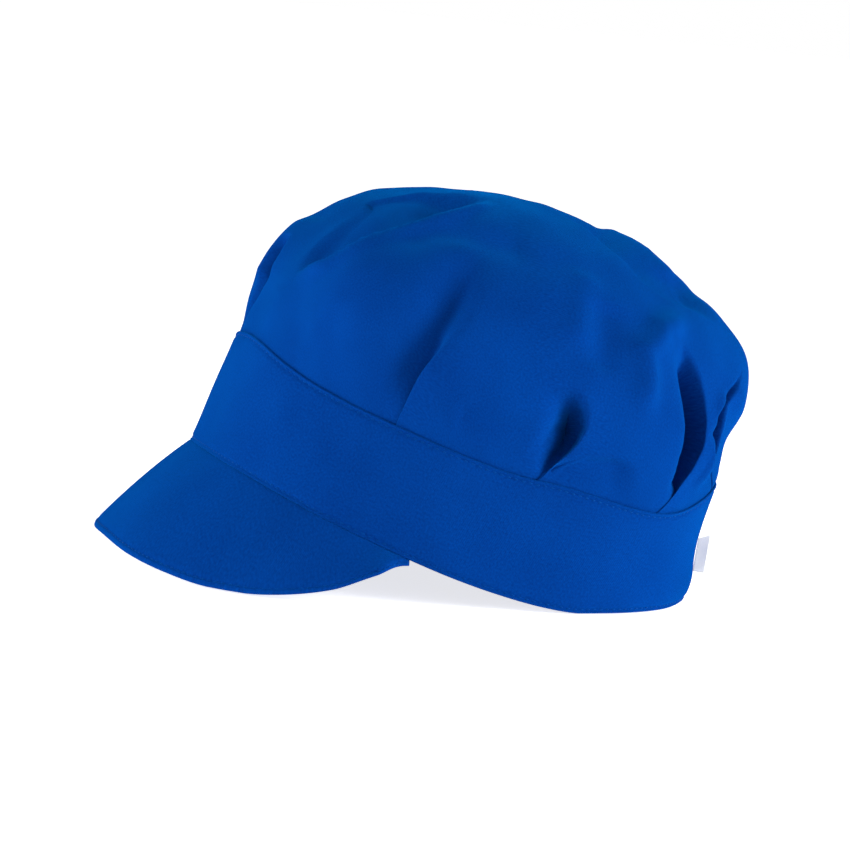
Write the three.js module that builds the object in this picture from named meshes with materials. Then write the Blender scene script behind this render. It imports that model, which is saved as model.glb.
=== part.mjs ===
// A chef's cap of plain blue cloth, lying on its rim: a pleated crown, a stitched band,
// a stiffened peak that bends down to the table at both sides, and a small folded side label.
// Millimetres, +Z up. The peak points to -Y and the wearer's left is +X.
// Angles round the head start at the front and grow towards the wearer's left.
import * as THREE from 'three';

// Head size, measured outside the band at its lower edge
const headWidth = 170;
const headLength = 192;
const planPower = 2.4;

// Cloth
const crownWall = 1.4;
const bandWall = 2.8;
const bandLip = 1.0;
const seamGap = 0.3;
const hemDepth = 3.6;

// Rim: flat on the table behind, lifted in front by the peak
const rimShift = -1;
const rimLift = 40.3;
const rimReach = 124.9;
const rimPower = 1.45;

// Upper edge of the band, with its height at each angle
const edgeWidth = 163.6;
const edgeLength = 183;
const edgeShift = 8.3;
const edgeHeights = [
  { angle: 0, height: 83.7 },
  { angle: 30, height: 74 },
  { angle: 60, height: 61.5 },
  { angle: 90, height: 46.9 },
  { angle: 120, height: 36.5 },
  { angle: 150, height: 43 },
  { angle: 180, height: 44 },
];

// How the band's wall departs from straight: tuck turns its foot in, waist draws its middle in
const bandSections = [
  { angle: 0, tuck: 0, waist: 0 },
  { angle: 45, tuck: 0, waist: 0.3 },
  { angle: 90, tuck: 0.8, waist: 0.8 },
  { angle: 135, tuck: 2, waist: 2 },
  { angle: 180, tuck: 5, waist: 3 },
];
const tuckShare = 0.24;

// Crown: its highest point, and the handles of the curve that climbs to it from the band.
// out and up lead the curve away from the band, spread is how far out it is still level.
const crownTop = new THREE.Vector3(0, -2.3, 143.4);
const crownSections = [
  { angle: 0, out: -14, up: 29, spread: 0.64 },
  { angle: 45, out: 9.5, up: 48, spread: 0.72 },
  { angle: 90, out: 10, up: 47, spread: 0.83 },
  { angle: 135, out: 13, up: 47, spread: 0.7 },
  { angle: 180, out: 31, up: 61, spread: 0.58 },
];

// Pleats of the crown, in order round the head. Each is a crease that starts at the band at
// an angle, leans as it climbs, and has opened out at its reach (0 is the band, 1 the top).
// near and far are how wide the cloth slopes down to the crease, before it and after it.
const crownPleats = [
  { name: 'right back', angle: -153, lean: -14, depth: 11, reach: 0.42, near: 4, far: 13 },
  { name: 'right heel', angle: -127, lean: -10, depth: 13, reach: 0.5, near: 4, far: 14 },
  { name: 'right middle', angle: -100, lean: -14, depth: 11, reach: 0.36, near: 4, far: 14 },
  { name: 'right side', angle: -72, lean: -16, depth: 10, reach: 0.44, near: 4, far: 15 },
  { name: 'right front', angle: -42, lean: -22, depth: 10, reach: 0.6, near: 5, far: 15 },
  { name: 'front', angle: -7, lean: 18, depth: 10, reach: 0.52, near: 10, far: 5 },
  { name: 'side', angle: 57, lean: 24, depth: 11, reach: 0.66, near: 15, far: 5 },
  { name: 'middle', angle: 89.5, lean: 34, depth: 12, reach: 0.31, near: 14, far: 4 },
  { name: 'heel', angle: 120, lean: 32, depth: 16, reach: 0.44, near: 13, far: 4 },
  { name: 'back', angle: 144, lean: 2, depth: 12, reach: 0.38, near: 9, far: 4 },
  { name: 'centre back', angle: 174, lean: 6, depth: 11, reach: 0.42, near: 13, far: 5 },
];
const pleatMouth = 0.1;
const pleatPower = 1.6;
const pleatPuff = 2.5;
const puffTop = 0.6;

// Soft folds of the crown, each along a line on it. A positive depth is a hollow, a negative
// one a crest, and width is half the fold's width.
const crownFolds = [
  { name: 'front crest', angle: 10, climb: 0.26, toAngle: 62, toClimb: 0.78, depth: -2.5, width: 9 },
  { name: 'hollow above it', angle: 2, climb: 0.5, toAngle: 52, toClimb: 0.92, depth: 5, width: 11 },
  { name: 'soft hollow', angle: 54, climb: 0.62, toAngle: 88, toClimb: 0.62, depth: 2.5, width: 9 },
  { name: 'back crest', angle: 122, climb: 0.7, toAngle: 158, toClimb: 0.4, depth: -2.5, width: 9 },
  { name: 'hollow behind it', angle: 142, climb: 0.76, toAngle: 174, toClimb: 0.48, depth: 4.5, width: 9 },
  { name: 'far lobe', angle: 166, climb: 0.54, toAngle: 196, toClimb: 0.76, depth: -3, width: 12 },
  { name: 'back bulge', angle: 146, climb: 0.2, toAngle: 178, toClimb: 0.3, depth: -3.5, width: 11 },
];
const foldSteps = 6;
const foldStart = 0.1;

// Peak: its outline is half an ellipse, and drop is the height of its underside along that edge
const peakCorner = 71.5;
const peakHalfWidth = 88;
const peakNose = 132.7;
const peakWall = 2.6;
const peakCornerWall = 1;
const peakArch = 1.5;
const peakEdge = [
  { angle: 0, drop: 8.1 },
  { angle: 15, drop: 5.7 },
  { angle: 30, drop: 2 },
  { angle: 45, drop: 0 },
  { angle: 60, drop: 1 },
  { angle: 75, drop: 6 },
  { angle: 90, drop: 15 },
];

// Label
const labelAngle = 154;
const labelHeight = 15;
const labelReach = 4.5;
const labelWall = 1;
const labelShare = 0.25;
const labelSlant = 2.5;
const labelSpan = 0.3;

// Facets
const goreSteps = 11;
const bandSteps = 90;
const climbSteps = 13;
const climbCrowding = 1.15;
const peakSteps = 44;
const peakRows = 6;
const bandRows = 5;
const bandCrowding = 1.5;

// How far apart the points are from which directions are taken
const angleStep = 0.001;
const surfaceStep = 0.004;

const cloth = new THREE.MeshStandardMaterial({ color: 0x05449c, roughness: 0.85, metalness: 0 });
const ribbon = new THREE.MeshStandardMaterial({ color: 0xf2f2ee, roughness: 0.7, metalness: 0 });

const up = new THREE.Vector3(0, 0, 1);
const radians = THREE.MathUtils.degToRad;
const smoothstep = THREE.MathUtils.smoothstep;

// A point of a squared ellipse, at an angle round the head
function planPoint(halfWidth, halfLength, angle) {
  const side = Math.sin(angle);
  const ahead = Math.cos(angle);
  const power = 2 / planPower;
  return new THREE.Vector3(
    halfWidth * Math.sign(side) * Math.abs(side) ** power,
    -halfLength * Math.sign(ahead) * Math.abs(ahead) ** power,
    0,
  );
}

// The level direction straight out of the head
function outwards(angle) {
  const before = planPoint(edgeWidth / 2, edgeLength / 2, angle - angleStep);
  const after = planPoint(edgeWidth / 2, edgeLength / 2, angle + angleStep);
  return after.sub(before).cross(up).normalize();
}

function rimPoint(angle) {
  const point = planPoint(headWidth / 2, headLength / 2, angle);
  const behindFront = point.y + headLength / 2;
  point.z = rimLift * Math.max(0, 1 - behindFront / rimReach) ** rimPower;
  point.y += rimShift;
  return point;
}

// A smooth curve through evenly spaced rows of one half, mirrored to the other half
function alongRows(rows, column, angle) {
  const spacing = rows[1].angle;
  const place = Math.abs(THREE.MathUtils.radToDeg(Math.atan2(Math.sin(angle), Math.cos(angle)))) / spacing;
  const last = rows.length - 1;
  const start = Math.min(Math.floor(place), last - 1);
  const value = (row) => rows[last - Math.abs(last - Math.abs(row))][column];
  const t = place - start;
  const [a, b, c, d] = [start - 1, start, start + 1, start + 2].map(value);
  return b + 0.5 * t * (c - a + t * (2 * a - 5 * b + 4 * c - d + t * (3 * (b - c) + d - a)));
}

function edgePoint(angle) {
  const point = planPoint(edgeWidth / 2, edgeLength / 2, angle);
  point.z = alongRows(edgeHeights, 'height', angle);
  point.y += edgeShift;
  return point;
}

// A point of the band: share climbs from the rim to the upper edge, inset goes into the wall
function bandPoint(angle, share, inset) {
  const waist = alongRows(bandSections, 'waist', angle) * 4 * share * (1 - share);
  const tuck = alongRows(bandSections, 'tuck', angle) * Math.max(0, 1 - share / tuckShare) ** 2;
  const point = rimPoint(angle).lerp(edgePoint(angle), share);
  return point.addScaledVector(outwards(angle), -inset - waist - tuck);
}

// The crown before it is folded
function smoothCrown(angle, climb) {
  const foot = bandPoint(angle, 1, bandLip + seamGap);
  const out = alongRows(crownSections, 'out', angle);
  const rise = alongRows(crownSections, 'up', angle);
  const spread = alongRows(crownSections, 'spread', angle);
  const lower = foot.clone().addScaledVector(outwards(angle), out).addScaledVector(up, rise);
  const upper = crownTop.clone().lerp(foot, spread).setZ(crownTop.z);
  return new THREE.CubicBezierCurve3(foot, lower, upper, crownTop).getPoint(climb);
}

function normalOf(surface, angle, climb) {
  const at = Math.min(Math.max(climb, surfaceStep), 1 - 4 * surfaceStep);
  const around = surface(angle + surfaceStep, at).sub(surface(angle - surfaceStep, at));
  const along = surface(angle, at + surfaceStep).sub(surface(angle, at - surfaceStep));
  return around.cross(along).normalize();
}

const foldLines = crownFolds.map((fold) => {
  const points = [];
  for (let i = 0; i <= foldSteps; i += 1) {
    const t = i / foldSteps;
    const angle = radians(THREE.MathUtils.lerp(fold.angle, fold.toAngle, t));
    points.push(smoothCrown(angle, THREE.MathUtils.lerp(fold.climb, fold.toClimb, t)));
  }
  return { ...fold, points };
});

// How far the folds press the cloth in at a point: a smooth bell across each fold's line
function foldDepth(point) {
  let depth = 0;
  const nearest = new THREE.Vector3();
  for (const fold of foldLines) {
    let distance = Infinity;
    for (let i = 0; i < foldSteps; i += 1) {
      const segment = new THREE.Line3(fold.points[i], fold.points[i + 1]);
      segment.closestPointToPoint(point, true, nearest);
      distance = Math.min(distance, nearest.distanceTo(point));
    }
    depth += fold.depth * Math.exp(-((distance / fold.width) ** 2));
  }
  return depth;
}

// The angle of a pleat's crease at a height of climb
function pleatAngle(pleat, climb) {
  return radians(pleat.angle + pleat.lean * Math.min(climb, pleat.reach));
}

// How far the pleats press the cloth in: steep on one side of each crease, gentle on the other
function pleatDepth(point, angle, climb) {
  const radius = Math.hypot(point.x - crownTop.x, point.y - crownTop.y);
  let depth = 0;
  for (const pleat of crownPleats) {
    const turn = angle - pleatAngle(pleat, climb);
    const distance = Math.atan2(Math.sin(turn), Math.cos(turn)) * radius;
    const width = distance < 0 ? pleat.near : pleat.far;
    const opened = smoothstep(climb, 0, pleatMouth) * (1 - smoothstep(climb, pleatMouth, pleat.reach));
    depth += pleat.depth * opened * Math.exp(-((Math.abs(distance) / width) ** pleatPower));
  }
  return depth - pleatPuff * Math.sin(Math.PI * Math.min(1, climb / puffTop)) ** 2;
}

function foldedCrown(angle, climb) {
  const point = smoothCrown(angle, climb);
  const folds = foldDepth(point) * smoothstep(climb, 0, foldStart);
  const depth = folds + pleatDepth(point, angle, climb);
  return point.addScaledVector(normalOf(smoothCrown, angle, climb), -depth);
}

// The crown's columns follow its pleats and crowd together at them
function crownAngles(climb) {
  const angles = [];
  crownPleats.forEach((pleat, k) => {
    const next = crownPleats[(k + 1) % crownPleats.length];
    const start = pleatAngle(pleat, climb);
    const end = pleatAngle(next, climb) + (k + 1 < crownPleats.length ? 0 : 2 * Math.PI);
    for (let j = 0; j < goreSteps; j += 1) {
      const share = (1 - Math.cos((Math.PI * j) / goreSteps)) / 2;
      angles.push(THREE.MathUtils.lerp(start, end, share));
    }
  });
  return angles;
}

// A closed mesh from rows of points. Each row has as many points, and joins the next one.
function meshFromRows(name, rows, triangles, material) {
  const geometry = new THREE.BufferGeometry();
  geometry.setFromPoints(rows.flat());
  geometry.setIndex(triangles);
  geometry.computeVertexNormals();
  const mesh = new THREE.Mesh(geometry, material);
  mesh.name = name;
  return mesh;
}

function bridge(triangles, rowA, rowB, size, closed) {
  const count = closed ? size : size - 1;
  for (let i = 0; i < count; i += 1) {
    const j = (i + 1) % size;
    triangles.push(rowA + i, rowB + i, rowB + j, rowA + i, rowB + j, rowA + j);
  }
}

// A ring: the section at each angle is a loop, and the last section joins the first
function ringMesh(name, sections, material) {
  const size = sections[0].length;
  const triangles = [];
  for (let k = 0; k < sections.length; k += 1) {
    bridge(triangles, k * size, ((k + 1) % sections.length) * size, size, true);
  }
  return meshFromRows(name, sections, triangles, material);
}

function wallHeight(angle) {
  return rimPoint(angle).distanceTo(edgePoint(angle));
}

// The band: one wall with a thin lip above, behind which the crown's hem is sewn
function makeBand() {
  const sections = [];
  for (let k = 0; k < bandSteps; k += 1) {
    const angle = (k / bandSteps) * 2 * Math.PI;
    const shelf = 1 - hemDepth / wallHeight(angle);
    const section = [];
    for (let i = 0; i <= bandRows; i += 1) {
      section.push(bandPoint(angle, (i / bandRows) ** bandCrowding, 0));
    }
    section.push(bandPoint(angle, 1, bandLip));
    section.push(bandPoint(angle, shelf, bandLip));
    for (let i = bandRows; i >= 0; i -= 1) {
      section.push(bandPoint(angle, shelf * (i / bandRows) ** bandCrowding, bandWall));
    }
    sections.push(section);
  }
  return ringMesh('band', sections, cloth);
}

// The crown: outer and inner skins from the hem up to the top, each closed by one point
function makeCrown() {
  const outerInset = bandLip + seamGap;
  const innerInset = outerInset + crownWall;
  const hem = (inset) => crownAngles(0).map((angle) => {
    const share = 1 - (hemDepth - seamGap) / wallHeight(angle);
    return bandPoint(angle, share, inset);
  });
  const outer = [hem(outerInset), crownAngles(0).map((angle) => foldedCrown(angle, 0))];
  const inner = [hem(innerInset), crownAngles(0).map((angle) => bandPoint(angle, 1, innerInset))];
  for (let j = 1; j < climbSteps; j += 1) {
    const climb = (j / climbSteps) ** climbCrowding;
    const skin = (wall) => crownAngles(climb).map((angle) => (
      foldedCrown(angle, climb).addScaledVector(normalOf(foldedCrown, angle, climb), -wall)
    ));
    outer.push(skin(0));
    inner.push(skin(crownWall));
  }
  const rings = [...inner.reverse(), ...outer];
  const size = rings[0].length;
  const triangles = [];
  for (let k = 0; k + 1 < rings.length; k += 1) {
    bridge(triangles, (k + 1) * size, k * size, size, true);
  }
  const innerTop = rings.length * size;
  const lastRing = innerTop - size;
  for (let i = 0; i < size; i += 1) {
    const j = (i + 1) % size;
    triangles.push(innerTop, j, i);
    triangles.push(innerTop + 1, lastRing + i, lastRing + j);
  }
  const tops = [crownTop.clone().addScaledVector(up, -crownWall), crownTop];
  return meshFromRows('crown', [...rings, tops], triangles, cloth);
}

// Height of the underside of the peak's edge, from the table, flat where it meets the table top
function peakDrop(turn) {
  return Math.max(0, alongRows(peakEdge, 'drop', turn));
}

// The peak: its inner strip lies under the band, and its outer edge bends down to the table
function makePeak() {
  const corner = radians(peakCorner);
  const cornerY = rimPoint(corner).y;
  const sections = [];
  for (let k = 0; k <= peakSteps; k += 1) {
    const angle = corner * ((2 * k) / peakSteps - 1);
    const turn = (angle / corner) * (Math.PI / 2);
    const wall = THREE.MathUtils.lerp(peakCornerWall, peakWall, Math.sqrt(Math.cos(turn)));
    const lowered = up.clone().multiplyScalar(-seamGap - wall);
    const root = bandPoint(angle, 0, bandWall).add(lowered);
    const seat = bandPoint(angle, 0, 0).add(lowered);
    const edge = new THREE.Vector3(
      peakHalfWidth * Math.sin(turn),
      cornerY - (peakNose + cornerY) * Math.cos(turn),
      peakDrop(turn),
    );
    const under = [root];
    for (let i = 0; i <= peakRows; i += 1) {
      const share = i / peakRows;
      const point = seat.clone().lerp(edge, share);
      point.z += peakArch * 4 * share * (1 - share);
      under.push(point);
    }
    const over = under.map((point) => point.clone().addScaledVector(up, wall));
    sections.push([...under, ...over.reverse()]);
  }
  const size = sections[0].length;
  const triangles = [];
  for (let k = 0; k < peakSteps; k += 1) {
    bridge(triangles, k * size, (k + 1) * size, size, true);
  }
  const cap = (start, flip) => {
    for (let i = 0; i + 1 < size / 2; i += 1) {
      const [a, b, c, d] = [i, i + 1, size - 2 - i, size - 1 - i].map((index) => start + index);
      if (flip) triangles.push(a, c, b, a, d, c);
      else triangles.push(a, b, c, a, c, d);
    }
  };
  cap(0, false);
  cap(peakSteps * size, true);
  return meshFromRows('peak', sections, triangles, cloth);
}

// The label: a folded ribbon that stands out of the band, with a slanting upper end
function makeLabel() {
  const angle = radians(labelAngle);
  const outline = new THREE.Shape();
  outline.moveTo(0, 0);
  outline.lineTo(labelReach, 0);
  outline.lineTo(labelReach, labelHeight);
  outline.lineTo(0, labelHeight - labelSlant);
  const geometry = new THREE.ExtrudeGeometry(outline, { depth: labelWall, bevelEnabled: false });
  geometry.translate(0, 0, -labelWall / 2);
  const foot = bandPoint(angle, labelShare, 0);
  const climb = bandPoint(angle, labelShare + labelSpan, 0).sub(foot).normalize();
  const out = outwards(angle).addScaledVector(climb, -outwards(angle).dot(climb)).normalize();
  const across = out.clone().cross(climb);
  const label = new THREE.Mesh(geometry, ribbon);
  label.name = 'label';
  label.quaternion.setFromRotationMatrix(new THREE.Matrix4().makeBasis(out, climb, across));
  label.position.copy(foot).addScaledVector(out, seamGap);
  return label;
}

const cap = new THREE.Group();
cap.name = 'chef_cap';
cap.add(makeCrown(), makeBand(), makePeak(), makeLabel());

// The origin is under the middle of the cap, on the table
const bounds = new THREE.Box3().setFromObject(cap);
const middle = bounds.getCenter(new THREE.Vector3());
cap.position.set(-middle.x, -middle.y, -bounds.min.z);
cap.updateMatrixWorld(true);

export default cap;
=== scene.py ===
"""A chef's cap of royal blue cloth: a pleated crown, a stitched band, a stiffened peak, a label.

The cap lies on its rim with its peak to -Y, and the camera looks at its left side. Angles
round the head start at the front and grow towards the wearer's left. Climb goes up the crown
from 0 at the band to 1 at its middle, and share goes up the band from 0 at the rim to 1.
"""
import bpy
import numpy as np
from mathutils import Matrix, Vector


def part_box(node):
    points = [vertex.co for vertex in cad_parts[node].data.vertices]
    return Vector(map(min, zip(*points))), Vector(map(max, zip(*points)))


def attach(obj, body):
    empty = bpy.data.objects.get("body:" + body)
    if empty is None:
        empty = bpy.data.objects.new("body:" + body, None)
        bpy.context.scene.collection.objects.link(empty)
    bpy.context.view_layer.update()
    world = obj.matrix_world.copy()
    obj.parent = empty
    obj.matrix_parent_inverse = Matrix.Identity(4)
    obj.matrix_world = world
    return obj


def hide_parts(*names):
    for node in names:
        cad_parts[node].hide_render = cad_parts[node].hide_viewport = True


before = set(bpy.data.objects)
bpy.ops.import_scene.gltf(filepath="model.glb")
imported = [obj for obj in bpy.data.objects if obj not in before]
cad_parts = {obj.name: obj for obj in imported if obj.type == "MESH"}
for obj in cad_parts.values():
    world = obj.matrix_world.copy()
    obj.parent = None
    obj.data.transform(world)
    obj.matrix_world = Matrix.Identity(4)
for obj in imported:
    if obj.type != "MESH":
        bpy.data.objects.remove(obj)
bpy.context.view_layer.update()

mm = 0.001
up = np.array([0.0, 0.0, 1.0])

# Head size, measured outside the band at its lower edge
head_width = 170 * mm
head_length = 192 * mm
plan_power = 2.4

# Rim: flat on the table behind, lifted in front by the peak
rim_shift = -1 * mm
rim_lift = 40.3 * mm
rim_reach = 124.9 * mm
rim_power = 1.45

# Upper edge of the band, with its height in millimetres at each angle
edge_width = 163.6 * mm
edge_length = 183 * mm
edge_shift = 8.3 * mm
edge_heights = [
    dict(angle=0, height=83.7),
    dict(angle=30, height=74),
    dict(angle=60, height=61.5),
    dict(angle=90, height=46.9),
    dict(angle=120, height=36.5),
    dict(angle=150, height=43),
    dict(angle=180, height=44),
]

# Band: tuck turns its foot in, waist draws its middle in, in millimetres at each angle. The
# crown's hem hangs behind its lip, by a share of its mean height.
band_sections = [
    dict(angle=0, tuck=0, waist=0),
    dict(angle=45, tuck=0, waist=0.3),
    dict(angle=90, tuck=0.8, waist=0.8),
    dict(angle=135, tuck=2, waist=2),
    dict(angle=180, tuck=5, waist=3),
]
tuck_share = 0.24
band_wall = 2.4 * mm
band_corner = 0.6 * mm
band_lip = 1.0 * mm
band_height = 48 * mm
hem_depth = 6 * mm

# Crown: its top, and the handles of the curve that climbs to it from the band, in millimetres.
# out and up lead the curve away from the band, spread is how far out it is still level.
crown_top = np.array([0, -2.3 * mm, 143.4 * mm])
crown_wall = 0.9 * mm
crown_sections = [
    dict(angle=0, out=-14, up=29, spread=0.64),
    dict(angle=45, out=9.5, up=48, spread=0.72),
    dict(angle=90, out=10, up=47, spread=0.83),
    dict(angle=135, out=13, up=47, spread=0.7),
    dict(angle=180, out=31, up=61, spread=0.58),
]

# Knife pleats round the crown. route lists climbs and angles that the pleat's middle passes.
# The pocket is pressed in by depth. The cloth falls into it over the width slope before the
# hidden fold, and over bite after it, and steep squares its floor. The lip laps over the hidden
# fold by up to overlap, on the side that hand gives. The pocket starts at the climb shut, is at
# its full depth from opens to hold and is gone at reach, and the lip laps up to lap_to. Angles
# are degrees and lengths millimetres.
crown_pleats = [
    dict(route=((0, -153), (0.2, -156), (0.42, -159)),
         hand=-1, depth=12, slope=10, steep=2, bite=3.5, overlap=6,
         shut=0, opens=0.08, hold=0.16, lap_to=0.20, reach=0.42),
    dict(route=((0, -121), (0.06, -126), (0.14, -129), (0.3, -130), (0.46, -134)),
         hand=-1, depth=22, slope=8, steep=2.4, bite=3, overlap=5,
         shut=0.03, opens=0.14, hold=0.20, lap_to=0.26, reach=0.46),
    dict(route=((0, -97), (0.1, -100), (0.2, -103), (0.34, -104)),
         hand=-1, depth=14, slope=7, steep=2, bite=3.2, overlap=6,
         shut=0, opens=0.07, hold=0.14, lap_to=0.24, reach=0.34),
    dict(route=((0, -72), (0.2, -77), (0.44, -81)),
         hand=-1, depth=11, slope=10, steep=2, bite=3.5, overlap=5,
         shut=0, opens=0.14, hold=0.18, lap_to=0.26, reach=0.46),
    dict(route=((0, -42), (0.3, -50), (0.58, -56)),
         hand=-1, depth=9, slope=11, steep=2, bite=3.5, overlap=5,
         shut=0, opens=0.20, hold=0.26, lap_to=0.32, reach=0.60),
    dict(route=((0, -9), (0.08, -8), (0.17, -6.5), (0.28, -7.5), (0.36, -10), (0.44, -14)),
         hand=1, depth=30, slope=5, steep=2.6, bite=2.2, overlap=2.5,
         shut=0, opens=0.10, hold=0.26, lap_to=0.46, reach=0.42),
    dict(route=((0, 59.5), (0.1, 62.5), (0.3, 68.5), (0.5, 74), (0.62, 75.5)),
         hand=1, depth=8, slope=10, steep=2, bite=4, overlap=5,
         shut=0, opens=0.22, hold=0.36, lap_to=0.34, reach=0.62),
    dict(route=((0, 89.5), (0.06, 92.2), (0.1, 94.4), (0.14, 95.8), (0.18, 96), (0.22, 95), (0.3, 93)),
         hand=1, depth=19, slope=4, steep=2, bite=2.4, overlap=5,
         shut=0, opens=0.15, hold=0.15, lap_to=0.28, reach=0.26),
    dict(route=((0, 119), (0.04, 122.8), (0.084, 126.6), (0.136, 130.6), (0.2, 133), (0.25, 133.2),
                (0.31, 132.6), (0.38, 132), (0.46, 133)),
         hand=1, depth=36, slope=7.5, steep=2.2, bite=2.4, overlap=4.5,
         shut=0.03, opens=0.18, hold=0.18, lap_to=0.36, reach=0.42),
    dict(route=((0, 149), (0.05, 145.5), (0.1, 142.8), (0.16, 141.2), (0.2, 142.2), (0.24, 146),
                (0.28, 155)),
         hand=1, depth=22, slope=3.4, steep=2, bite=2.2, overlap=1.2,
         shut=0, opens=0.08, hold=0.18, lap_to=0.24, reach=0.28),
    dict(route=((0, 176), (0.2, 178), (0.42, 179)),
         hand=1, depth=11, slope=10, steep=2, bite=3.5, overlap=6,
         shut=0, opens=0.08, hold=0.16, lap_to=0.20, reach=0.42),
]
# Alike for all pleats: the width that laps, the hidden fold's place in it, how far the lap
# presses the cloth in at the seam, the share of slope left there, and the lap's start of fading
pleat_width = 7 * mm
pleat_fold = 0.4
pleat_flat = 0.8 * mm
pleat_slit = 0.3
bite_power = 2
lap_fade = 0.4
# The cloth between the pleats swells by this much, halfway up to this climb
pleat_puff = 2.5 * mm
puff_top = 0.6

# Soft folds of the crown, each along a line of angles and climbs. A positive depth is a
# hollow, a negative one a crest, and width is half the fold's width, in millimetres. side is 0
# for a fold with two equal sides, and 1 for a crease whose hollow is all on the line's left.
crown_folds = [
    dict(name="front ridge", side=1, depth=5.2, width=11,
         line=((9, 0.27), (14, 0.30), (25, 0.365), (45, 0.583), (55, 0.683), (72, 0.80), (88, 0.90))),
    dict(name="crest of the front ridge", side=0, depth=-2.2, width=4,
         line=((9, 0.27), (25, 0.365), (45, 0.583), (55, 0.683), (72, 0.80), (84, 0.875))),
    dict(name="front lobe", side=0, depth=-2.5, width=12,
         line=((-12, 0.2), (-14, 0.3), (-19, 0.42), (-24, 0.55))),
    dict(name="soft hollow", side=0, depth=2.2, width=8,
         line=((43.7, 0.481), (56.4, 0.619), (70, 0.653), (84, 0.646), (92, 0.64))),
    dict(name="back ridge", side=1, depth=4.8, width=11,
         line=((142, 0.84), (139, 0.762), (132.7, 0.683), (132.2, 0.595), (139.5, 0.527), (151, 0.459),
               (158, 0.38))),
    dict(name="ridge over the heel pleat", side=0, depth=-3.4, width=5,
         line=((108, 0.22), (111.5, 0.325), (113, 0.395), (124, 0.455), (145, 0.47))),
    dict(name="hollow before it", side=0, depth=1.8, width=8,
         line=((106, 0.52), (102, 0.41), (98, 0.30))),
    dict(name="light fold", side=0, depth=-1.4, width=6,
         line=((104, 0.62), (97, 0.48), (93, 0.36))),
    dict(name="far lobe", side=0, depth=-2.8, width=11,
         line=((164, 0.52), (172, 0.58), (180, 0.645), (187, 0.69))),
    dict(name="back bulge", side=0, depth=-3.5, width=11,
         line=((146, 0.20), (154, 0.25), (164, 0.275), (178, 0.30))),
    dict(name="ridge between the back pleats", side=0, depth=-2.2, width=3.5,
         line=((130, 0.04), (135, 0.1), (138, 0.16), (140, 0.22), (144, 0.28))),
    dict(name="hollow above the band at the back", side=0, depth=2.5, width=11,
         line=((140, 0.06), (152, 0.09), (165, 0.1), (182, 0.1))),
    dict(name="crease off the middle lip", side=1, depth=2.4, width=4,
         line=((110, 0.114), (102.7, 0.112), (97.9, 0.094), (94.2, 0.06), (89.9, 0.016))),
    dict(name="crease before the middle pleat", side=0, depth=1.8, width=5,
         line=((72, 0.09), (75.4, 0.095), (82.8, 0.112), (90, 0.114))),
    dict(name="front crease", side=0, depth=-0.8, width=3,
         line=((23, 0.03), (26, 0.062), (32.6, 0.154), (37.4, 0.24), (41, 0.30))),
]
# How many straight pieces stand for a fold's line, how round its ridge is, and the share of its
# line over which it fades at either end
fold_steps = 24
fold_radius = 0.5 * mm
fold_taper = 0.2
# The soft folds fade out down to the seam from this climb, as the cloth is sewn in there
sewn_flat = 0.04

# Unevenness of the cloth all over: gentle waves of several lengths, which start above the seam
# and are weaker in the band
slack_depth = 0.17 * mm
slack_shortest = 14 * mm
slack_longest = 55 * mm
slack_waves = 14
slack_start = 0.1
band_slack = 0.45

# Peak: its outline is half a squared ellipse, which narrows to the band over the last part of
# its turn, from the share taper. The wall thins towards the corners, and hold sinks it into the
# band's rim. drop is the height in millimetres of the underside along the edge, at angles of
# the ellipse.
peak_corner = 71.5
peak_half_width = 90 * mm
peak_nose = 130 * mm
peak_wall = 2.2 * mm
peak_corner_wall = 0.9 * mm
peak_hold = 0.05 * mm
peak_arch = 1.5 * mm
peak_arch_share = 0.04
peak_taper = 0.93
peak_power = 2.4
peak_edge = [
    dict(angle=0, drop=5),
    dict(angle=15, drop=3.6),
    dict(angle=30, drop=1.8),
    dict(angle=45, drop=0),
    dict(angle=60, drop=0.5),
    dict(angle=75, drop=4.7),
    dict(angle=90, drop=13.8),
]

# Label: its foot is at a share of the band's height, and it leans with the band's next share.
# It is thinner at the seam than at the fold, curls a little, and is thicker at its selvedges.
label_angle = 154
label_height = 15 * mm
label_reach = 4.5 * mm
label_wall = 0.7 * mm
label_share = 0.25
label_slant = 2.5 * mm
label_lean = 0.3
label_seam_share = 0.6
label_curl = 0.5 * mm
selvedge_share = 0.25
selvedge_width = 0.5 * mm

# Stitches: the thread thins by pinch towards its ends, and rises and dips by shares of its
# radius. It pulls a groove into the cloth, and the peak's row stops short of the corners.
stitch_pitch = 2.8 * mm
stitch_length = 2 * mm
thread_radius = 0.24 * mm
thread_pinch = 0.96
thread_rise = 0.35
thread_dip = 1.5
stitch_inset = 1.5 * mm
groove_depth = 0.5 * mm
groove_width = 0.7 * mm
peak_row_share = 0.985

# Grids: rows and columns of each piece, and how rows crowd together where the form bends most
gore_columns = 44
crown_rows = 136
crown_crowding = 1.3
lining_rows = 54
lining_crowding = 1.2
band_columns = 900
band_rows = 44
band_crowding = 0.115
corner_rows = 5
lip_rows = 9
peak_columns = 260
peak_rows = 60
peak_edge_rows = 9
label_rows = 30
label_side_columns = 12
label_bend_columns = 9
line_points = 3000
line_passes = 4
stitch_rings = 7
stitch_sides = 6

# Flat cloth: the crown's radius on it, and the places of a stitch's thread, in metres
pattern_radius = 0.15
thread_spacing = 3 * mm
thread_advance = 0.4 * mm
thread_turn = 0.2 * mm

# The cap's own frame lies behind the middle of its box, whose front end is this far from it
front_end = 132.7 * mm
cap_shift = np.array([0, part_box("peak")[0].y + front_end, 0])


def unit(vectors):
    return vectors / np.linalg.norm(vectors, axis=-1, keepdims=True)


def smoothstep(value, low, high):
    """0 below low, 1 above high, and 3t^2 - 2t^3 between them."""
    t = np.clip((value - low) / (high - low), 0, 1)
    return t * t * (3 - 2 * t)


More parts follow.
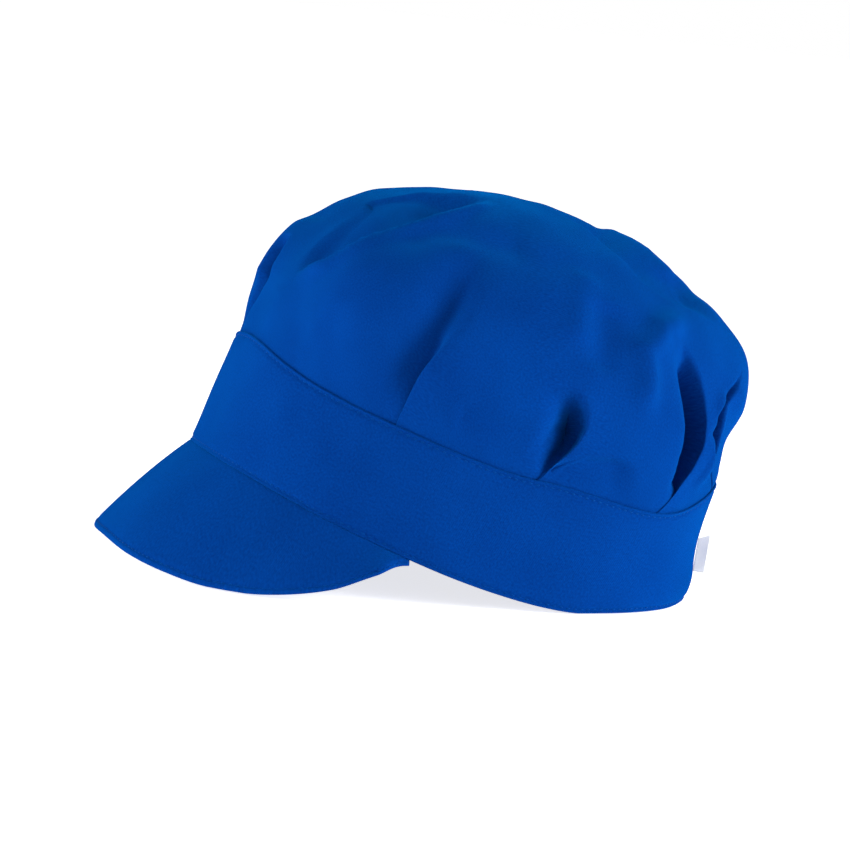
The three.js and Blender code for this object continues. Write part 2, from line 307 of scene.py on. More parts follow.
def wrapped(angle):
    return np.arctan2(np.sin(angle), np.cos(angle))


def plan_point(half_width, half_length, angle):
    """A squared ellipse: each coordinate is the sine or cosine to the power 2 / plan_power."""
    side, ahead = np.sin(angle), np.cos(angle)
    power = 2 / plan_power
    x = half_width * np.sign(side) * np.abs(side) ** power
    y = -half_length * np.sign(ahead) * np.abs(ahead) ** power
    return np.stack([x, y, np.zeros_like(x)], axis=-1)


def outwards(angle):
    """The level normal of the band's upper edge, from two points close on either side."""
    step = 0.001
    before = plan_point(edge_width / 2, edge_length / 2, angle - step)
    after = plan_point(edge_width / 2, edge_length / 2, angle + step)
    return unit(np.cross(after - before, up))


def rim_point(angle):
    """The rim in plan, raised in front by a power of the distance from its flat part."""
    point = plan_point(head_width / 2, head_length / 2, angle)
    behind_front = point[..., 1] + head_length / 2
    point[..., 2] = rim_lift * np.clip(1 - behind_front / rim_reach, 0, None) ** rim_power
    point[..., 1] += rim_shift
    return point


def edge_point(angle):
    """The upper edge in plan, at the height that its table gives for each angle."""
    point = plan_point(edge_width / 2, edge_length / 2, angle)
    point[..., 2] = along_rows(edge_heights, "height", angle) * mm
    point[..., 1] += edge_shift
    return point


def along_rows(rows, column, angle):
    """A Catmull-Rom curve through evenly spaced rows of one half, mirrored to the other half."""
    spacing = np.radians(rows[1]["angle"])
    values = np.array([row[column] for row in rows], dtype=float)
    last = len(rows) - 1
    place = np.abs(wrapped(angle)) / spacing
    start = np.minimum(np.floor(place).astype(int), last - 1)
    t = place - start
    a, b, c, d = (values[last - np.abs(last - np.abs(start + k))] for k in (-1, 0, 1, 2))
    return b + 0.5 * t * (c - a + t * (2 * a - 5 * b + 4 * c - d + t * (3 * (b - c) + d - a)))


def band_point(angle, share, inset):
    """A point of the band's wall: the line from rim to edge, less waist, tuck, slack and inset."""
    waist = along_rows(band_sections, "waist", angle) * mm * 4 * share * (1 - share)
    tuck = along_rows(band_sections, "tuck", angle) * mm * np.clip(1 - share / tuck_share, 0, None) ** 2
    foot, edge = rim_point(angle), edge_point(angle)
    uneven = slack(foot + (edge - foot) * np.asarray(share)[..., None]) * band_slack
    share = np.asarray(share)[..., None]
    inwards = (np.asarray(inset) + waist + tuck + uneven)[..., None]
    return foot + (edge - foot) * share - outwards(angle) * inwards


def smooth_crown(angle, climb):
    """The crown before it is folded: at each angle a cubic Bezier curve from the band to the top."""
    foot = band_point(angle, 1.0, band_lip)
    out = along_rows(crown_sections, "out", angle)[..., None] * mm
    rise = along_rows(crown_sections, "up", angle)[..., None] * mm
    spread = along_rows(crown_sections, "spread", angle)[..., None]
    lower = foot + outwards(angle) * out + up * rise
    upper = crown_top + (foot - crown_top) * spread
    upper[..., 2] = crown_top[2]
    t = np.asarray(climb)[..., None]
    s = 1 - t
    return foot * s ** 3 + lower * 3 * t * s ** 2 + upper * 3 * t ** 2 * s + crown_top * t ** 3


def crown_directions(angle, climb):
    """Unit vectors at a point of the smooth crown: round the head, and straight out of the cloth."""
    step = 0.004
    at = np.clip(climb, step, 1 - 4 * step)
    around = unit(smooth_crown(angle + step, at) - smooth_crown(angle - step, at))
    along = unit(smooth_crown(angle, at + step) - smooth_crown(angle, at - step))
    return around, unit(np.cross(around, along))


def crease_angle(pleat, climb):
    """The pleat's route: a cubic curve through its rows, whose slopes come from their neighbours."""
    heights, angles = np.array(pleat["route"], dtype=float).T
    slopes = np.gradient(angles, heights)
    at = np.clip(climb, heights[0], heights[-1])
    k = np.clip(np.searchsorted(heights, at, side="right") - 1, 0, len(heights) - 2)
    span = heights[k + 1] - heights[k]
    t = (at - heights[k]) / span
    low = angles[k] + t * span * slopes[k]
    high = angles[k + 1] - (1 - t) * span * slopes[k + 1]
    return np.radians(low + (high - low) * t * t * (3 - 2 * t))


def fold_depth(fold, point, normal):
    """How deep a soft fold presses in at each point.

    The fold's line is taken as short straight pieces. Across it the depth is a bell of the
    distance, or for a one-sided crease t e^(1 - t) of the distance on its left, which starts
    at a sharp ridge. Towards both ends the depth fades.
    """
    line = np.array(fold["line"])
    marks = np.linspace(0, len(line) - 1, fold_steps + 1)
    angles = np.interp(marks, np.arange(len(line)), line[:, 0])
    climbs = np.interp(marks, np.arange(len(line)), line[:, 1])
    corners = smooth_crown(np.radians(angles), climbs)
    nearest = np.full(point.shape[:-1], np.inf)
    left = np.zeros_like(nearest)
    place = np.zeros_like(nearest)
    for k in range(fold_steps):
        along = corners[k + 1] - corners[k]
        offset = point - corners[k]
        t = np.clip((offset @ along) / (along @ along), 0, 1)
        gap = offset - t[..., None] * along
        distance = np.linalg.norm(gap, axis=-1)
        closer = distance < nearest
        nearest = np.where(closer, distance, nearest)
        side = np.einsum("...k,...k->...", np.cross(along, gap), normal)
        left = np.where(closer, np.sign(side), left)
        place = np.where(closer, (k + t) / fold_steps, place)
    width = fold["width"] * mm
    if fold["side"]:
        signed = nearest * left
        t = (signed + np.hypot(signed, fold_radius)) / 2 / width
        shape = t * np.exp(1 - t)
    else:
        shape = np.exp(-(nearest / width) ** 2)
    ends = smoothstep(place, 0, fold_taper) * (1 - smoothstep(place, 1 - fold_taper, 1))
    return fold["depth"] * mm * shape * ends


def slack(point):
    """Unevenness of the cloth: a sum of sines along random directions, each with its own length.

    A wave's depth goes with the square root of its length.
    """
    random = np.random.default_rng(5)
    directions = unit(random.normal(size=(slack_waves, 3)))
    lengths = np.geomspace(slack_shortest, slack_longest, slack_waves)
    phases = random.uniform(0, 2 * np.pi, slack_waves)
    waves = np.sin(point @ (directions * (2 * np.pi / lengths)[:, None]).T + phases)
    return slack_depth * (waves @ (lengths / slack_longest) ** 0.5)


def folded_crown(angle, climb, lap):
    """The crown's outer face, pressed in by its soft folds and its pleats.

    A pleat presses in most at its hidden fold, by a bell of the distance to it that is wider
    before it than after it. It also carries the cloth sideways by minus a sine of the
    distance, and where the sine outruns that distance the lip laps over the fold.
    """
    point = smooth_crown(angle, climb)
    around, normal = crown_directions(angle, climb)
    folded = sum(fold_depth(fold, point, normal) for fold in crown_folds)
    depth = folded * smoothstep(climb, 0, sewn_flat) + slack(point) * smoothstep(climb, 0, slack_start)
    shift = np.zeros_like(depth)
    radius = np.hypot(point[..., 0] - crown_top[0], point[..., 1] - crown_top[1])
    for pleat in crown_pleats:
        hand, reach = pleat["hand"], pleat["reach"]
        across = hand * wrapped(angle - crease_angle(pleat, climb)) * radius
        opening = smoothstep(climb, pleat["shut"], pleat["opens"])
        opened = opening * (1 - smoothstep(climb, pleat["hold"], reach))
        flat = pleat_flat * (1 - smoothstep(climb, 0, pleat["opens"]))
        from_fold = across + pleat_fold * pleat_width
        slope = pleat["slope"] * (pleat_slit + (1 - pleat_slit) * opening)
        width = np.where(from_fold < 0, slope, pleat["bite"]) * mm
        power = np.where(from_fold < 0, pleat["steep"], bite_power)
        bell = np.exp(-(np.abs(from_fold) / width) ** power)
        depth += (pleat["depth"] * mm * opened + flat) * bell
        lapped = 1 - smoothstep(climb, lap_fade * pleat["lap_to"], pleat["lap_to"])
        lapping = pleat["overlap"] * mm * lap * lapped
        shift -= hand * lapping * np.sin(np.pi * np.clip(across / pleat_width, -1, 1))
    depth -= pleat_puff * np.sin(np.pi * np.minimum(1, climb / puff_top)) ** 2
    return point + around * shift[..., None] - normal * depth[..., None]


def crown_angles(climb):
    """Columns that follow the pleats and crowd together at them, a row for each climb."""
    columns = []
    count = len(crown_pleats)
    share = (1 - np.cos(np.pi * np.arange(gore_columns) / gore_columns)) / 2
    for k, pleat in enumerate(crown_pleats):
        following = crown_pleats[(k + 1) % count]
        start = crease_angle(pleat, climb)
        end = crease_angle(following, climb) + (2 * np.pi if k + 1 == count else 0)
        columns.append(start[:, None] + (end - start)[:, None] * share)
    return np.concatenate(columns, axis=1)


def grid_normals(points):
    """Normals of a grid that is closed round its columns, from the differences of its neighbours."""
    around = np.roll(points, -1, axis=1) - np.roll(points, 1, axis=1)
    along = np.gradient(points, axis=0)
    return unit(np.cross(around, along))


def cloth_piece(name, vertices, faces, uv, material):
    """A smooth piece, with the place on the flat cloth of every corner of its faces."""
    mesh = bpy.data.meshes.new(name)
    mesh.from_pydata(vertices, [], faces)
    layer = mesh.uv_layers.new(name="cloth")
    layer.data.foreach_set("uv", uv.astype(np.float32).ravel())
    mesh.polygons.foreach_set("use_smooth", np.ones(len(faces), dtype=bool))
    mesh.materials.append(material)
    mesh.update()
    piece = bpy.data.objects.new(name, mesh)
    bpy.context.collection.objects.link(piece)
    return piece


def ring_mesh(name, points, uv, material, closed_rows=False, closed_columns=True, poles=(), caps=()):
    """A mesh from a grid of points. The grid's rows or columns may close on themselves.

    uv has one row or column more than points where the grid closes. A pole is a point, with
    its place in uv, that closes the first or the last row by a fan of triangles. A cap is one
    flat face across a loop of the grid's points.
    """
    rows, columns = points.shape[:2]
    r = np.arange(rows if closed_rows else rows - 1)
    c = np.arange(columns if closed_columns else columns - 1)
    r, c = (part.ravel() for part in np.meshgrid(r, c, indexing="ij"))
    corners = [(r, c), (r, c + 1), (r + 1, c + 1), (r + 1, c)]
    quads = np.stack([(i % rows) * columns + j % columns for i, j in corners], axis=1)
    uv_columns = uv.shape[1]
    quad_uv = np.stack([i * uv_columns + j for i, j in corners], axis=1)
    vertices = [tuple(p) for p in (points.reshape(-1, 3) + cap_shift)]
    faces = quads.tolist()
    flat_uv = uv.reshape(-1, 2)
    face_uv = [flat_uv[quad_uv.ravel()]]
    for row, place, spot in poles:
        tip = len(vertices)
        vertices.append(tuple(np.asarray(place) + cap_shift))
        for j in range(columns):
            ends = [row * columns + j, row * columns + (j + 1) % columns]
            marks = [row * uv_columns + j, row * uv_columns + j + 1]
            if row == 0:
                ends.reverse()
                marks.reverse()
            faces.append([*ends, tip])
            face_uv.append(np.array([flat_uv[marks[0]], flat_uv[marks[1]], spot]))
    for loop in caps:
        faces.append(list(loop))
        face_uv.append(flat_uv[[(i // columns) * uv_columns + i % columns for i in loop]])
    return cloth_piece(name, vertices, faces, np.concatenate(face_uv), material)


# Cloth: its yarn's fine noise and its dye's broad one, in waves to the metre, and what each does
# to the height, the colour and the roughness. The diagonal rib takes rib_turns of a thread's
# turns.
yarn_scale = 1200
yarn_detail = 3
yarn_height = 0.8
dye_scale = 28
dye_detail = 2
dye_share = 0.5
rib_turns = 0.5
base_roughness = 0.5
yarn_roughness = 0.2
bump_strength = 0.5
sheen_roughness = 0.45


def math_node(nodes, links, operation, *values):
    node = nodes.new("ShaderNodeMath")
    node.operation = operation
    for place, value in enumerate(values):
        if isinstance(value, (int, float)):
            node.inputs[place].default_value = value
        else:
            links.new(value, node.inputs[place])
    return node.outputs[0]


def noise_node(nodes, links, place, scale, detail):
    node = nodes.new("ShaderNodeTexNoise")
    node.inputs["Scale"].default_value = scale
    node.inputs["Detail"].default_value = detail
    links.new(place, node.inputs["Vector"])
    return node.outputs[0]


def weave_group():
    """Threads of a woven cloth as a height, and its uneven dye as a colour.

    The height is the product of two sines across the threads, plus a diagonal rib. The colour
    is mixed from two, by a fine noise for the yarn and a broad one for the dye.
    """
    group = bpy.data.node_groups.new("woven cloth", "ShaderNodeTree")
    for side, name, kind in (
        ("INPUT", "Pitch", "Float"), ("INPUT", "Rib", "Float"),
        ("INPUT", "Deep", "Color"), ("INPUT", "Pale", "Color"),
        ("OUTPUT", "Color", "Color"), ("OUTPUT", "Height", "Float"), ("OUTPUT", "Roughness", "Float"),
    ):
        group.interface.new_socket(name=name, in_out=side, socket_type="NodeSocket" + kind)
    nodes, links = group.nodes, group.links
    given = nodes.new("NodeGroupInput")
    result = nodes.new("NodeGroupOutput")
    cut = nodes.new("ShaderNodeUVMap")
    cut.uv_map = "cloth"
    axes = nodes.new("ShaderNodeSeparateXYZ")
    links.new(cut.outputs[0], axes.inputs[0])
    turns = math_node(nodes, links, "DIVIDE", 2 * np.pi, given.outputs["Pitch"])
    warp = math_node(nodes, links, "MULTIPLY", axes.outputs[0], turns)
    weft = math_node(nodes, links, "MULTIPLY", axes.outputs[1], turns)
    warp_wave = math_node(nodes, links, "SINE", warp)
    weft_wave = math_node(nodes, links, "SINE", weft)
    crossing = math_node(nodes, links, "MULTIPLY", warp_wave, weft_wave)
    both = math_node(nodes, links, "ADD", warp, weft)
    slant = math_node(nodes, links, "SINE", math_node(nodes, links, "MULTIPLY", both, rib_turns))
    rib = math_node(nodes, links, "MULTIPLY", slant, given.outputs["Rib"])
    threads = math_node(nodes, links, "ADD", crossing, rib)
    yarn = noise_node(nodes, links, cut.outputs[0], yarn_scale, yarn_detail)
    dye = noise_node(nodes, links, cut.outputs[0], dye_scale, dye_detail)
    unevenness = math_node(nodes, links, "MULTIPLY_ADD", dye, dye_share, -dye_share / 2)
    mask = math_node(nodes, links, "ADD", yarn, unevenness)
    mix = nodes.new("ShaderNodeMix")
    mix.data_type = "RGBA"
    links.new(mask, mix.inputs["Factor"])
    links.new(given.outputs["Deep"], mix.inputs[6])
    links.new(given.outputs["Pale"], mix.inputs[7])
    links.new(mix.outputs[2], result.inputs["Color"])
    height = math_node(nodes, links, "MULTIPLY_ADD", yarn, yarn_height, threads)
    links.new(height, result.inputs["Height"])
    roughness = math_node(nodes, links, "MULTIPLY_ADD", yarn, yarn_roughness, base_roughness)
    links.new(roughness, result.inputs["Roughness"])
    return group


woven = weave_group()


def cloth_material(name, deep, pale, shine, pitch, rib, relief, sheen, gloss):
    """A matt woven cloth: its colours, thread pitch, diagonal rib, relief, and its sheen and gloss."""
    material = bpy.data.materials.new(name)
    material.use_nodes = True
    nodes, links = material.node_tree.nodes, material.node_tree.links
    shader = nodes["Principled BSDF"]
    shader.inputs["Sheen Weight"].default_value = sheen
    shader.inputs["Sheen Roughness"].default_value = sheen_roughness
    shader.inputs["Sheen Tint"].default_value = (*shine, 1)
    shader.inputs["Specular IOR Level"].default_value = gloss
    shader.inputs["Specular Tint"].default_value = (*shine, 1)
    weave = nodes.new("ShaderNodeGroup")
    weave.node_tree = woven
    weave.inputs["Pitch"].default_value = pitch
    weave.inputs["Rib"].default_value = rib
    weave.inputs["Deep"].default_value = (*deep, 1)
    weave.inputs["Pale"].default_value = (*pale, 1)
    bump = nodes.new("ShaderNodeBump")
    bump.inputs["Strength"].default_value = bump_strength
    bump.inputs["Distance"].default_value = relief
    links.new(weave.outputs["Color"], shader.inputs["Base Color"])
    links.new(weave.outputs["Roughness"], shader.inputs["Roughness"])
    links.new(weave.outputs["Height"], bump.inputs["Height"])
    links.new(bump.outputs["Normal"], shader.inputs["Normal"])
    return material


blue = cloth_material(
    "royal blue twill", deep=(0.0006, 0.013, 0.105), pale=(0.0008, 0.043, 0.25), shine=(0, 0.3, 1),
    pitch=0.42 * mm, rib=0.6, relief=0.05 * mm, sheen=0.3, gloss=0,
)
white = cloth_material(
    "white ribbon", deep=(0.88, 0.88, 0.85), pale=(0.96, 0.96, 0.93), shine=(1, 1, 1),
    pitch=0.5 * mm, rib=0.2, relief=0.05 * mm, sheen=0.1, gloss=0.2,
)
thread = cloth_material(
    "blue thread", deep=(0.0006, 0.018, 0.135), pale=(0.0008, 0.048, 0.25), shine=(0, 0.35, 1),
    pitch=0.25 * mm, rib=1, relief=0.03 * mm, sheen=0.2, gloss=0.05,
)


def make_crown():
    """The crown's cloth: an outer face with its pleats, a lining face inside it, and a hem between."""
    climb = (np.arange(crown_rows) / crown_rows) ** crown_crowding
    angle = crown_angles(climb)
    outer = folded_crown(angle, climb[:, None] * np.ones_like(angle), lap=1.0)
    inside_climb = (np.arange(lining_rows) / lining_rows) ** lining_crowding
    inside_angle = crown_angles(inside_climb)
    lining = folded_crown(inside_angle, inside_climb[:, None] * np.ones_like(inside_angle), lap=0.0)
    lining -= grid_normals(lining) * crown_wall
    hem_angle = angle[:1]
    hem_share = 1 - hem_depth / band_height
    drop = band_point(hem_angle, hem_share, band_lip) - band_point(hem_angle, 1.0, band_lip)
    outer_hem = outer[:1] + drop
    inner_hem = lining[:1] + drop
    points = np.concatenate([lining[::-1], inner_hem, outer_hem, outer])
    all_climb = np.concatenate([inside_climb[::-1], [0, 0], climb])
    all_angle = np.concatenate([inside_angle[::-1], hem_angle, hem_angle, angle])
    all_angle = np.concatenate([all_angle, all_angle[:, :1] + 2 * np.pi], axis=1)
    radius = (pattern_radius * (1 - all_climb))[:, None]
    uv = np.stack([radius * np.sin(all_angle), -radius * np.cos(all_angle)], axis=-1)
    inner_top = crown_top - up * crown_wall
    poles = [(0, inner_top, (0, 0)), (len(points) - 1, crown_top, (0, 0))]
    return ring_mesh("crown_cloth", points, uv, blue, poles=poles)


def bend(low, high, count):
    """Sines and cosines of evenly spaced angles from low to high, in degrees."""
    bends = np.radians(np.linspace(low, high, count))
    return list(zip(np.sin(bends), np.cos(bends)))


def groove_at(distance):
    """How deep the thread pulls the cloth in, as a bell of the distance to the row of stitches."""
    return groove_depth * np.exp(-(distance / groove_width) ** 2)


def make_band():
    """The band: a folded strip round the head, with a thin lip above that stands off the crown.

    Its section goes up the outside from a rounded rim to a half round lip, down behind the lip
    to the shelf that the crown's hem stands on, and down the inside.
    """
    angle = np.arange(band_columns) / band_columns * 2 * np.pi
    height = np.linalg.norm(edge_point(angle) - rim_point(angle), axis=-1)
    corner, lip = band_corner, band_lip / 2
    shelf = height - hem_depth
    section = []
    for sine, cosine in bend(-90, 0, corner_rows):
        section.append((corner + corner * sine, corner - corner * cosine))
    steps = np.linspace(0, 1, band_rows)[1:-1]
    for step in steps - band_crowding * np.sin(2 * np.pi * steps):
        rise = corner + (height - corner - lip) * step
        to_row = np.minimum(np.abs(rise - stitch_inset), np.abs(height - rise - stitch_inset))
        section.append((rise, groove_at(to_row)))
    for sine, cosine in bend(0, 180, lip_rows):
        section.append((height - lip + lip * sine, lip - lip * cosine))
    section.append((shelf, band_lip))
    section.append((shelf, band_wall))
    for step in np.linspace(1, 0, band_rows // 2)[1:-1]:
        section.append((corner + (shelf - corner) * step, band_wall))
    for sine, cosine in bend(180, 270, corner_rows):
        section.append((corner + corner * sine, band_wall - corner - corner * cosine))
    points = np.stack([band_point(angle, rise / height, inset + 0 * angle) for rise, inset in section])
    closed = np.concatenate([points, points[:1]])
    closed = np.concatenate([closed, closed[:, :1]], axis=1)
    outside_row = len(points) // 3
    around = np.linalg.norm(np.diff(closed[outside_row], axis=0), axis=-1)
    around = np.concatenate([[0], np.cumsum(around)])
    across = np.linalg.norm(np.diff(closed, axis=0), axis=-1)
    across = np.concatenate([0 * across[:1], np.cumsum(across, axis=0)])
    uv = np.stack([around + 0 * across, across], axis=-1)
    return ring_mesh("band_cloth", points, uv, blue, closed_rows=True)


def peak_frame(angle):
    """The peak at each angle under the band: its root, its seat, its outer edge and its wall.

    The root is under the band's inner face, and the seat under its outer face. The edge is half
    a squared ellipse in plan, which narrows to the band's width at its corners.
    """
    corner = np.radians(peak_corner)
    corner_x, corner_y = rim_point(np.array([corner]))[0, :2]
    turn = angle / corner * np.pi / 2
    wall = peak_corner_wall + (peak_wall - peak_corner_wall) * np.sqrt(np.clip(np.cos(turn), 0, 1))
    lowered = up * (peak_hold - wall[..., None] / 2)
    root = band_point(angle, 0.0, band_wall * np.ones_like(angle)) + lowered
    seat = band_point(angle, 0.0, np.zeros_like(angle)) + lowered
    drop = np.clip(along_rows(peak_edge, "drop", turn), 0, None) * mm
    tapered = smoothstep(np.abs(turn), peak_taper * np.pi / 2, np.pi / 2)
    half_width = peak_half_width + (corner_x - peak_half_width) * tapered
    side = np.sign(turn) * np.abs(np.sin(turn)) ** (2 / peak_power)
    ahead = np.clip(np.cos(turn), 0, 1) ** (2 / peak_power)
    edge = np.stack([
        half_width * side,
        corner_y - (peak_nose + corner_y) * ahead,
        drop + wall / 2,
    ], axis=-1)
    return root, seat, edge, wall


def peak_surface(angle, step):
    """The middle of the peak's wall: a straight line from seat to edge, raised by an arch."""
    root, seat, edge, wall = peak_frame(angle)
    length = np.linalg.norm(edge - seat, axis=-1)
    share = step * (1 - wall / 2 / length)
    arch = np.minimum(peak_arch, peak_arch_share * length) * 4 * step * (1 - step)
    point = seat + (edge - seat) * share[..., None] + up * arch[..., None]
    return point, length * (1 - share)


def make_peak():
    """The peak: its upper and under face, with a rounded outer edge and a stitched groove.

    Its rows crowd together at the edge, by a sine.
    """
    angle = np.radians(peak_corner) * np.linspace(-1, 1, peak_columns)
    root, seat, edge, wall = peak_frame(angle)
    half = wall / 2
    rows, widths = [root], [half]
    for step in np.sin(np.linspace(0, np.pi / 2, peak_rows)):
        point, from_edge = peak_surface(angle, step * np.ones_like(angle))
        rows.append(point)
        widths.append(half - groove_at(from_edge - stitch_inset))
    tip, near_tip = rows[-1], rows[-4]
    outer = unit(tip - near_tip)
    over = [point + up * width[:, None] for point, width in zip(rows, widths)]
    under = [point - up * width[:, None] for point, width in zip(rows, widths)]
    rounding = []
    for sine, cosine in bend(90, -90, peak_edge_rows)[1:-1]:
        rounding.append(tip + (outer * cosine + up * sine) * half[:, None])
    points = np.stack([*over, *rounding, *under[::-1]])
    uv = np.concatenate([points, points[:1]])[..., :2]
    first = [row * peak_columns for row in range(len(points))]
    last = [start + peak_columns - 1 for start in reversed(first)]
    return ring_mesh(
        "peak_cloth", points, uv, blue, closed_rows=True, closed_columns=False, caps=[first, last],
    )


def make_label():
    """The label: a ribbon folded in two, its fold outwards, sewn in behind the band's wall.

    Its section is a flat loop with a round end, a little fuller at the fold, drawn up a line
    that leans with the band. Its upper end is cut at a slant, and its ends are a little thicker
    by a bell.
    """
    angle = np.radians(label_angle)
    foot = band_point(angle, label_share, 0.0)
    climb = unit(band_point(angle, label_share + label_lean, 0.0) - foot)
    out = outwards(angle)
    out = unit(out - climb * (out @ climb))
    across = np.cross(out, climb)
    half = label_wall / 2
    straight = np.linspace(0, label_reach - half, label_side_columns)
    sines, cosines = np.transpose(bend(90, -90, label_bend_columns)[1:-1])
    reach = np.concatenate([straight, label_reach - half + half * cosines, straight[::-1]])
    side = np.concatenate([np.ones_like(straight), sines, -np.ones_like(straight)])
    fullness = half * (label_seam_share + (1 - label_seam_share) * smoothstep(reach, 0, label_reach))
    rise = np.linspace(0, 1, label_rows)[:, None]
    top = label_height - label_slant * (1 - reach / label_reach)
    from_end = (1 - np.abs(2 * rise - 1)) * label_height / 2
    selvedge = 1 + selvedge_share * np.exp(-(from_end / selvedge_width) ** 2)
    curl = label_curl * (reach / label_reach) ** 2 * np.sin(np.pi * rise)
    points = (
        foot + out * (reach * np.ones_like(rise))[..., None]
        + climb * (rise * top)[..., None]
        + across * (side * fullness * selvedge + curl)[..., None]
    )
    path = np.concatenate([[0], np.cumsum(np.hypot(np.diff(reach), np.diff(side * fullness)))])
    uv = np.stack([path + 0 * rise, rise * label_height + 0 * path], axis=-1)
    uv = np.concatenate([uv, uv[:, :1]], axis=1)
    columns = len(reach)
    low = list(range(columns))
    high = [(label_rows - 1) * columns + i for i in reversed(low)]
    return ring_mesh("side_label", points[:, ::-1], uv, white, caps=[low, high])


def along_line(points, pitch, closed):
    """Evenly spaced points along a line of many points, and the line's direction at each."""
    if closed:
        points = np.concatenate([points, points[:1]])
    path = np.concatenate([[0], np.cumsum(np.linalg.norm(np.diff(points, axis=0), axis=-1))])
    count = int(round(path[-1] / pitch))
    marks = (np.arange(count) + 0.5) * path[-1] / count
    at = np.stack([np.interp(marks, path, column) for column in points.T], axis=-1)
    beyond = marks + stitch_length / 4
    ahead = np.stack([np.interp(beyond, path, column) for column in points.T], axis=-1)
    return at, unit(ahead - at)


def stitch_mesh(name, centres, along, normals):
    """Stitches as one mesh: each a short arched thread whose ends sink into the cloth.

    With span from -1 to 1 along a stitch, the thread's radius is the fourth root of one less
    a share of span^4, and it dips by a share of span^2.
    """
    s, t = stitch_rings, stitch_sides
    spans = np.linspace(-1, 1, s)
    turns = np.arange(t) / t * 2 * np.pi
    radius = thread_radius * (1 - thread_pinch * spans ** 4) ** 0.25
    sink = thread_radius * (thread_rise - thread_dip * spans ** 2)
    across = np.cross(along, normals)
    forward = (spans * stitch_length / 2)[:, None] * np.ones(t)
    lift = sink[:, None] + radius[:, None] * np.sin(turns)
    sideways = radius[:, None] * np.cos(turns)
    points = (
        centres[:, None, None]
        + along[:, None, None] * forward[..., None]
        + normals[:, None, None] * lift[..., None]
        + across[:, None, None] * sideways[..., None]
    ).reshape(-1, 3)
    r, c = (part.ravel() for part in np.meshgrid(np.arange(s - 1), np.arange(t), indexing="ij"))
    following = (c + 1) % t
    quads = np.stack([r * t + c, (r + 1) * t + c, (r + 1) * t + following, r * t + following], axis=1)
    starts = (np.arange(len(centres)) * s * t)[:, None, None]
    faces = (starts + quads).reshape(-1, 4).tolist()
    ends = np.stack([np.arange(t), (s - 1) * t + np.arange(t)[::-1]])
    faces += (starts + ends).reshape(-1, t).tolist()
    corner = np.concatenate([np.array(face) for face in faces])
    stitch, ring, turn = corner // (s * t), corner % (s * t) // t, corner % t
    uv = np.stack([stitch * thread_spacing + turn * thread_turn, ring * thread_advance], axis=-1)
    return cloth_piece(name, (points + cap_shift).tolist(), faces, uv, thread)


def make_band_stitches(name, from_edge, from_rim):
    """A row of stitches round the band, at a distance from its upper edge or from its rim."""
    angle = np.linspace(0, 2 * np.pi, line_points, endpoint=False)
    height = np.linalg.norm(edge_point(angle) - rim_point(angle), axis=-1)
    share = 1 - from_edge / height if from_edge else from_rim / height
    line = band_point(angle, share, groove_depth + 0 * angle)
    centres, along = along_line(line, stitch_pitch, True)
    return stitch_mesh(name, centres, along, unit(np.cross(along, up)))


def make_peak_stitches():
    """A row of stitches along the peak. A few passes find the steps that lie inside its edge."""
    angle = np.radians(peak_corner) * np.linspace(-peak_row_share, peak_row_share, line_points)
    seat, edge, wall = peak_frame(angle)[1:]
    length = np.linalg.norm(edge - seat, axis=-1)
    step = np.ones_like(angle)
    for _ in range(line_passes):
        point, from_edge = peak_surface(angle, step)
        step = step - (stitch_inset - from_edge) / length
    point = point + up * (wall / 2 - groove_depth)[:, None]
    centres, along = along_line(point, stitch_pitch, False)
    return stitch_mesh("peak_stitches", centres, along, np.broadcast_to(up, centres.shape))


crown = make_crown()
band = make_band()
peak = make_peak()
label = make_label()
edge_stitches = make_band_stitches("band_edge_stitches", stitch_inset, None)
rim_stitches = make_band_stitches("band_rim_stitches", None, stitch_inset)
peak_stitches = make_peak_stitches()

for piece, node in ((crown, "crown"), (band, "band"), (peak, "peak"), (label, "label")):
    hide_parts(node)
for piece in (crown, band, peak, label, edge_stitches, rim_stitches, peak_stitches):
    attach(piece, "root")

# Camera: the photograph's view, low at the cap's left side, and rolled a little
camera_azimuth = np.radians(72)
camera_height = np.radians(7)
camera_roll = np.radians(6)
camera_distance = 1.3
camera_scale = 2.654 / mm
picture_width = 850
sensor_width = 36
look_across = -10.545 * mm
look_height = 53.52 * mm


def make_camera():
    """A camera whose axes come from its azimuth, its height and its roll."""
    level = np.array([np.cos(camera_azimuth), np.sin(camera_azimuth), 0])
    back = np.array([
        np.sin(camera_azimuth) * np.cos(camera_height),
        -np.cos(camera_azimuth) * np.cos(camera_height),
        np.sin(camera_height),
    ])
    above = np.cross(back, level)
    right = level * np.cos(camera_roll) + above * np.sin(camera_roll)
    top = above * np.cos(camera_roll) - level * np.sin(camera_roll)
    target = level * look_across + up * look_height + cap_shift
    data = bpy.data.cameras.new("camera")
    data.sensor_width = sensor_width
    data.lens = camera_scale * camera_distance / picture_width * sensor_width
    camera = bpy.data.objects.new("camera", data)
    axes = Matrix([(*row,) for row in np.stack([right, top, back], axis=1)]).to_4x4()
    camera.matrix_world = Matrix.Translation(Vector(target + back * camera_distance)) @ axes
    bpy.context.collection.objects.link(camera)
    bpy.context.scene.camera = camera
    return level, back, target


level, back, target = make_camera()

# Softboxes: their size and places in metres, from the cap to the right, to the camera and up
lamp_width = 0.7
lamp_height = 1.0
softboxes = [
    dict(name="front softbox", right=-1.1, near=0.5, above=0, power=28.5),
    dict(name="back softbox", right=1.1, near=0.3, above=0.1, power=29),
]


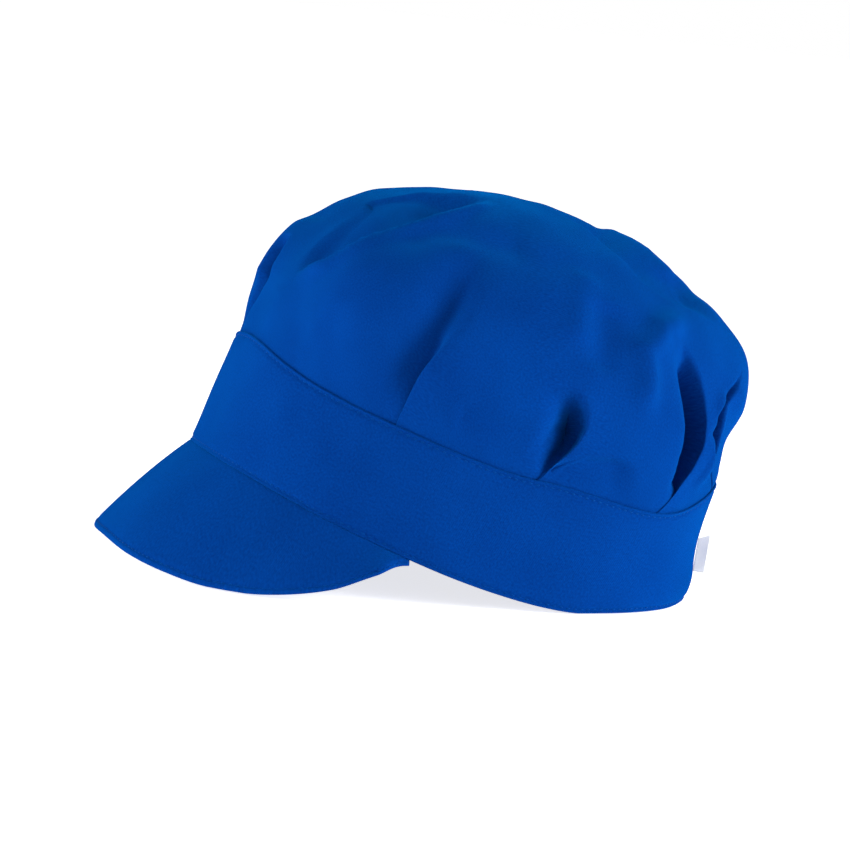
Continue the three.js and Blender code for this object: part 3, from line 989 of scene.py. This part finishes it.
def soft_light(name, right, near, above, power):
    """An upright rectangular lamp, offset from the cap and aimed at it."""
    offset = level * right + back * near + up * above
    data = bpy.data.lights.new(name, "AREA")
    data.shape = "RECTANGLE"
    data.size = lamp_width
    data.size_y = lamp_height
    data.energy = power
    lamp = bpy.data.objects.new(name, data)
    lamp.location = Vector(target + offset)
    lamp.rotation_euler = Vector(-offset).to_track_quat("-Z", "Y").to_euler()
    bpy.context.collection.objects.link(lamp)


for softbox in softboxes:
    soft_light(**softbox)

# Studio: the light from all sides and from overhead, and the background that the camera sees
ambient = 0.78
overhead = 0.1
backdrop = 1
white_light = (1, 1, 1, 1)


def make_world():
    """A white studio that is darker overhead. The camera sees it as pale as the floor."""
    world = bpy.data.worlds.new("studio")
    world.use_nodes = True
    nodes, links = world.node_tree.nodes, world.node_tree.links
    background = nodes["Background"]
    background.inputs["Color"].default_value = white_light
    rays = nodes.new("ShaderNodeLightPath")
    directions = nodes.new("ShaderNodeTexCoord")
    axes = nodes.new("ShaderNodeSeparateXYZ")
    links.new(directions.outputs["Generated"], axes.inputs[0])
    height = math_node(nodes, links, "MAXIMUM", axes.outputs[2], 0)
    soft = math_node(nodes, links, "MULTIPLY_ADD", height, overhead - ambient, ambient)
    seen = math_node(nodes, links, "SUBTRACT", backdrop, soft)
    strength = math_node(nodes, links, "MULTIPLY_ADD", rays.outputs["Is Camera Ray"], seen, soft)
    links.new(strength, background.inputs["Strength"])
    bpy.context.scene.world = world


make_world()
bpy.context.scene.view_settings.view_transform = "Standard"

# Floor: its half width in metres, how far it lies under the cap, and its paper
floor_size = 40
floor_drop = 0.4 * mm
paper_colour = (0.95, 0.95, 0.95, 1)
paper_roughness = 0.9
paper_glow = 0.75


def make_floor():
    """A wide sheet of pale paper that glows enough to look as white as the background."""
    mesh = bpy.data.meshes.new("floor")
    signs = ((-1, -1), (1, -1), (1, 1), (-1, 1))
    corners = [(x * floor_size, y * floor_size, -floor_drop) for x, y in signs]
    mesh.from_pydata(corners, [], [(0, 1, 2, 3)])
    paper = bpy.data.materials.new("pale paper")
    paper.use_nodes = True
    shader = paper.node_tree.nodes["Principled BSDF"]
    shader.inputs["Base Color"].default_value = paper_colour
    shader.inputs["Roughness"].default_value = paper_roughness
    shader.inputs["Emission Color"].default_value = white_light
    shader.inputs["Emission Strength"].default_value = paper_glow
    mesh.materials.append(paper)
    sheet = bpy.data.objects.new("floor", mesh)
    bpy.context.collection.objects.link(sheet)
    return sheet


floor = make_floor()
